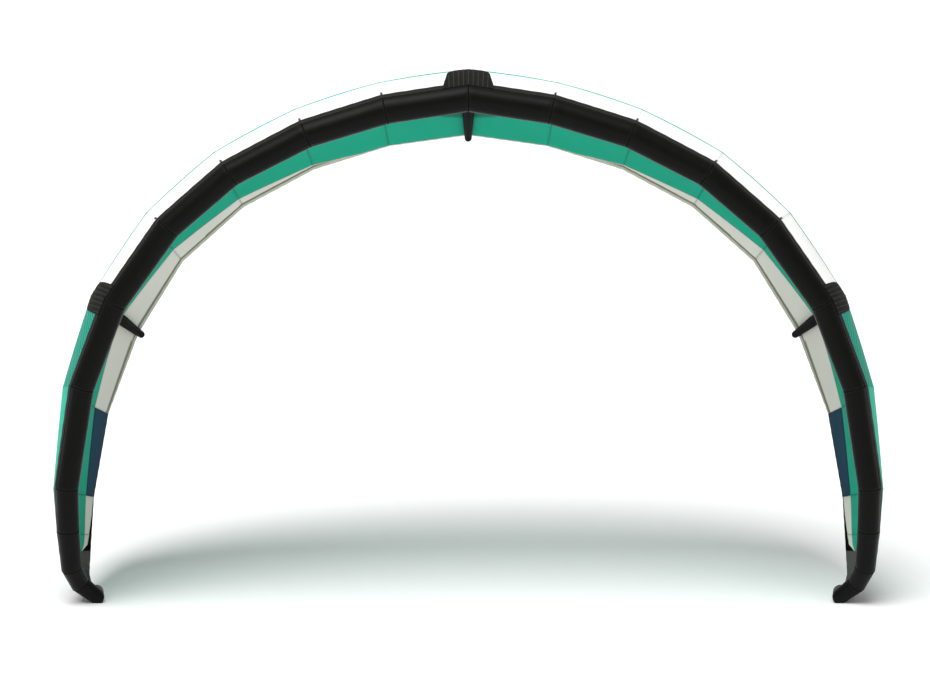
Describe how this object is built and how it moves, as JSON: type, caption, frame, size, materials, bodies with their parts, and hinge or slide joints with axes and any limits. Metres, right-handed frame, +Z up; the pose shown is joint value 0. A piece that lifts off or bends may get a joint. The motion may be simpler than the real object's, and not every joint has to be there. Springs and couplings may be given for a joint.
{
  "type": "kitesurfing kite",
  "caption": "Kitesurfing kite: a cambered cloth arch sewn to an inflated leading edge tube and inflated struts, standing on its two wing tips.",
  "frame": {"origin": "middle of the floor area under the kite, on the floor", "axes": "+X along the span to the right, +Y from the leading edge back to the trailing edge, +Z up"},
  "size_m": [4.879, 1.8516, 3.1271],
  "materials": {
    "tube_cloth": "woven polyester sleeve, dark charcoal, slight sheen",
    "strut_cloth": "woven polyester sleeve, dark charcoal",
    "patch_cloth": "ribbed reinforcement cloth, charcoal",
    "flange_tape": "woven polyester tape, black",
    "white_ripstop": "coated ripstop, white",
    "teal_ripstop": "coated ripstop, teal",
    "hatched_ripstop": "coated ripstop, teal with fine darker hatching",
    "bright_ripstop": "coated ripstop, bright teal",
    "cream_ripstop": "coated ripstop, warm light grey",
    "navy_ripstop": "coated ripstop, navy",
    "khaki_binding": "woven binding, khaki",
    "black_tip_cloth": "woven polyester, matt black"
  },
  "bodies": {
    "root": {"centre_patch": "patch_cloth", "centre_strut": "strut_cloth", "left_band": "khaki_binding", "left_band_tip": "black_tip_cloth", "left_canopy_1": "teal_ripstop", "left_canopy_2": "teal_ripstop", "left_canopy_3": "teal_ripstop", "left_canopy_4": "teal_ripstop", "left_canopy_5": "teal_ripstop", "left_canopy_6": "teal_ripstop", "left_canopy_7": "teal_ripstop", "left_canopy_8": "teal_ripstop", "left_flange": "flange_tape", "left_front_bright": "bright_ripstop", "left_front_hatched": "hatched_ripstop", "left_front_white": "white_ripstop", "left_leading_edge_1": "tube_cloth", "left_leading_edge_2": "tube_cloth", "left_leading_edge_3": "tube_cloth", "left_leading_edge_4": "tube_cloth", "left_leading_edge_5": "tube_cloth", "left_leading_edge_6": "tube_cloth", "left_leading_edge_7": "tube_cloth", "left_leading_edge_8": "tube_cloth", "left_leading_edge_9": "tube_cloth", "left_outer_patch": "patch_cloth", "left_outer_strut": "strut_cloth", "left_rear_cream": "cream_ripstop", "left_rear_navy": "navy_ripstop", "left_rear_tip": "cream_ripstop", "left_tip": "black_tip_cloth", "right_band": "khaki_binding", "right_band_tip": "black_tip_cloth", "right_canopy_1": "teal_ripstop", "right_canopy_2": "teal_ripstop", "right_canopy_3": "teal_ripstop", "right_canopy_4": "teal_ripstop", "right_canopy_5": "teal_ripstop", "right_canopy_6": "teal_ripstop", "right_canopy_7": "teal_ripstop", "right_canopy_8": "teal_ripstop", "right_flange": "flange_tape", "right_front_bright": "bright_ripstop", "right_front_hatched": "hatched_ripstop", "right_front_white": "white_ripstop", "right_leading_edge_1": "tube_cloth", "right_leading_edge_2": "tube_cloth", "right_leading_edge_3": "tube_cloth", "right_leading_edge_4": "tube_cloth", "right_leading_edge_5": "tube_cloth", "right_leading_edge_6": "tube_cloth", "right_leading_edge_7": "tube_cloth", "right_leading_edge_8": "tube_cloth", "right_leading_edge_9": "tube_cloth", "right_outer_patch": "patch_cloth", "right_outer_strut": "strut_cloth", "right_rear_cream": "cream_ripstop", "right_rear_navy": "navy_ripstop", "right_rear_tip": "cream_ripstop", "right_tip": "black_tip_cloth"}
  },
  "joints": []
}
